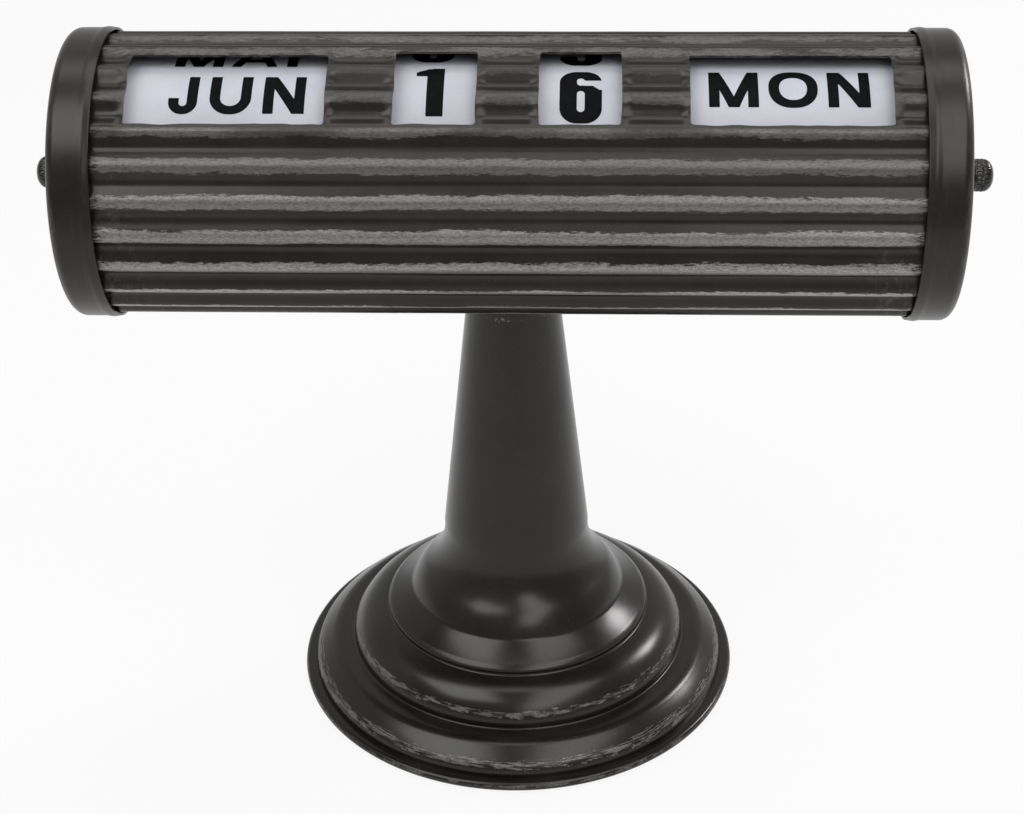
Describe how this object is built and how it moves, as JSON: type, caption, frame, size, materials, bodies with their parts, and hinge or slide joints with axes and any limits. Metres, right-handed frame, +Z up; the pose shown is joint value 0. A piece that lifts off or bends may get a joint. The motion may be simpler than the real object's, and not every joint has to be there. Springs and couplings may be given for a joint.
{
  "type": "perpetual desk calendar",
  "caption": "Desk calendar with a ribbed horizontal barrel on a turned pedestal; printed month, date and weekday drums turn inside and show through windows.",
  "frame": {"origin": "on the table, under the middle of the pedestal and of the barrel", "axes": "+Z up, +X along the barrel towards the weekday end, -Y towards the reader"},
  "size_m": [0.3096, 0.156, 0.2418],
  "materials": {
    "ribbed_bronze": "dark bronze, satin, rubbed to grey metal on the rib crests",
    "cap_bronze": "dark bronze, smooth satin",
    "pedestal_bronze": "dark bronze, semi-gloss, rubbed on the ring edges",
    "knob_black": "black, knurled, semi-gloss",
    "bright_steel": "drawn steel",
    "zinc": "zinc plated",
    "sleeve_alloy": "turned",
    "fibre": "pressed fibre",
    "drum_shell": "wound board",
    "disc_wood": "turned, unfinished",
    "label_paper": "smooth white paper",
    "label_ink": "printed black",
    "grey_iron": "as cast",
    "felt": "pressed felt"
  },
  "bodies": {
    "frame": {"barrel": "ribbed_bronze", "cap_left": "cap_bronze", "cap_right": "cap_bronze", "axle": "bright_steel", "end_knob_left": "knob_black", "end_knob_right": "knob_black", "knob_washers": "zinc", "outer_sleeves": "sleeve_alloy", "inner_sleeves": "sleeve_alloy", "centre_sleeve": "sleeve_alloy", "friction_washers": "fibre", "spring_washers": "bright_steel", "pedestal": "pedestal_bronze", "base_weight": "grey_iron", "felt_pad": "felt", "tie_rod": "zinc", "upper_nut": "zinc", "lower_nut": "zinc", "rod_saddle": "zinc", "rod_washer": "zinc"},
    "month_roller": {"month_drum": "drum_shell", "month_end_discs": "disc_wood", "month_label": "label_paper"},
    "tens_roller": {"tens_drum": "drum_shell", "tens_end_discs": "disc_wood", "tens_label": "label_paper"},
    "units_roller": {"units_drum": "drum_shell", "units_end_discs": "disc_wood", "units_label": "label_paper"},
    "weekday_roller": {"weekday_drum": "drum_shell", "weekday_end_discs": "disc_wood", "weekday_label": "label_paper"}
  },
  "joints": [
    {"name": "month_spin", "type": "hinge", "parent": "frame", "child": "month_roller", "pos_m": [-0.0871, 0, 0.1948], "axis": [-1, 0, 0], "continuous": true},
    {"name": "tens_spin", "type": "hinge", "parent": "frame", "child": "tens_roller", "pos_m": [-0.0224, 0, 0.1948], "axis": [-1, 0, 0], "continuous": true},
    {"name": "units_spin", "type": "hinge", "parent": "frame", "child": "units_roller", "pos_m": [0.0224, 0, 0.1948], "axis": [-1, 0, 0], "continuous": true},
    {"name": "weekday_spin", "type": "hinge", "parent": "frame", "child": "weekday_roller", "pos_m": [0.0871, 0, 0.1948], "axis": [-1, 0, 0], "continuous": true}
  ]
}
